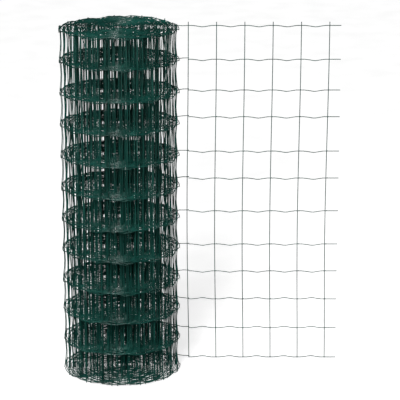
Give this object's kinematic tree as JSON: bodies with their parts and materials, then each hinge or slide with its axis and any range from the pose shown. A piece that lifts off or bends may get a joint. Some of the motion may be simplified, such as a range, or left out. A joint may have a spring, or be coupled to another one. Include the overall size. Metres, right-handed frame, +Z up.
{
  "type": "welded wire mesh fence roll",
  "caption": "Standing roll of plastic-coated welded wire mesh fence with crimped line wires and a flat free stretch led off it.",
  "frame": {"origin": "on the roll's axis at its base, where the stays stand on the ground", "axes": "+Z up along the roll's axis, +X along the free stretch, -Y towards the viewer's side of the roll"},
  "size_m": [0.7879, 0.3317, 1],
  "materials": {
    "coated_line_wire": "dark green plastic coat over galvanised steel, satin gloss",
    "coated_stay": "dark green plastic coat over galvanised steel, satin gloss"
  },
  "bodies": {
    "roll": {"line_wire_01": "coated_line_wire", "line_wire_02": "coated_line_wire", "line_wire_03": "coated_line_wire", "line_wire_04": "coated_line_wire", "line_wire_05": "coated_line_wire", "line_wire_06": "coated_line_wire", "line_wire_07": "coated_line_wire", "line_wire_08": "coated_line_wire", "line_wire_09": "coated_line_wire", "line_wire_10": "coated_line_wire", "line_wire_11": "coated_line_wire", "line_wire_12": "coated_line_wire", "lead_out_line_wires": "coated_line_wire", "roll_stays_turn_01": "coated_stay", "roll_stays_turns_02_04": "coated_stay", "roll_stays_turns_05_07": "coated_stay", "roll_stays_turns_08_10": "coated_stay", "roll_stays_turns_11_13": "coated_stay", "roll_stays_turns_14_16": "coated_stay", "roll_stays_turns_17_19": "coated_stay", "roll_stays_turns_20_22": "coated_stay", "roll_stays_turns_23_25": "coated_stay", "roll_stays_turns_26_28": "coated_stay", "roll_stays_turns_29_31": "coated_stay", "roll_stays_turns_32_34": "coated_stay", "roll_stays_turns_35_37": "coated_stay", "roll_stays_turns_38_40": "coated_stay", "first_free_stay": "coated_stay"},
    "bay_1": {"bay_1_stay": "coated_stay", "bay_1_line_wires": "coated_line_wire"},
    "bay_2": {"bay_2_stay": "coated_stay", "bay_2_line_wires": "coated_line_wire"},
    "bay_3": {"bay_3_stay": "coated_stay", "bay_3_line_wires": "coated_line_wire"},
    "bay_4": {"bay_4_stay": "coated_stay", "bay_4_line_wires": "coated_line_wire"},
    "bay_5": {"bay_5_stay": "coated_stay", "bay_5_line_wires": "coated_line_wire"}
  },
  "joints": [
    {"name": "bay_1_flex", "type": "hinge", "parent": "roll", "child": "bay_1", "pos_m": [0.23035, 0.08, 0], "axis": [0, 0, 1], "range_deg": [-27, 14], "stiffness_Nm_per_rad": 11.5},
    {"name": "bay_2_flex", "type": "hinge", "parent": "bay_1", "child": "bay_2", "pos_m": [0.30975, 0.08, 0], "axis": [0, 0, 1], "range_deg": [-27, 14], "stiffness_Nm_per_rad": 11.5},
    {"name": "bay_3_flex", "type": "hinge", "parent": "bay_2", "child": "bay_3", "pos_m": [0.38915, 0.08, 0], "axis": [0, 0, 1], "range_deg": [-27, 14], "stiffness_Nm_per_rad": 11.5},
    {"name": "bay_4_flex", "type": "hinge", "parent": "bay_3", "child": "bay_4", "pos_m": [0.46855, 0.08, 0], "axis": [0, 0, 1], "range_deg": [-27, 14], "stiffness_Nm_per_rad": 11.5},
    {"name": "bay_5_flex", "type": "hinge", "parent": "bay_4", "child": "bay_5", "pos_m": [0.54795, 0.08, 0], "axis": [0, 0, 1], "range_deg": [-27, 14], "stiffness_Nm_per_rad": 11.5}
  ],
  "couplings": [
    {"joint": "bay_2_flex", "follows": "bay_1_flex", "ratio": 1},
    {"joint": "bay_3_flex", "follows": "bay_1_flex", "ratio": 1},
    {"joint": "bay_4_flex", "follows": "bay_1_flex", "ratio": 1},
    {"joint": "bay_5_flex", "follows": "bay_1_flex", "ratio": 1}
  ]
}
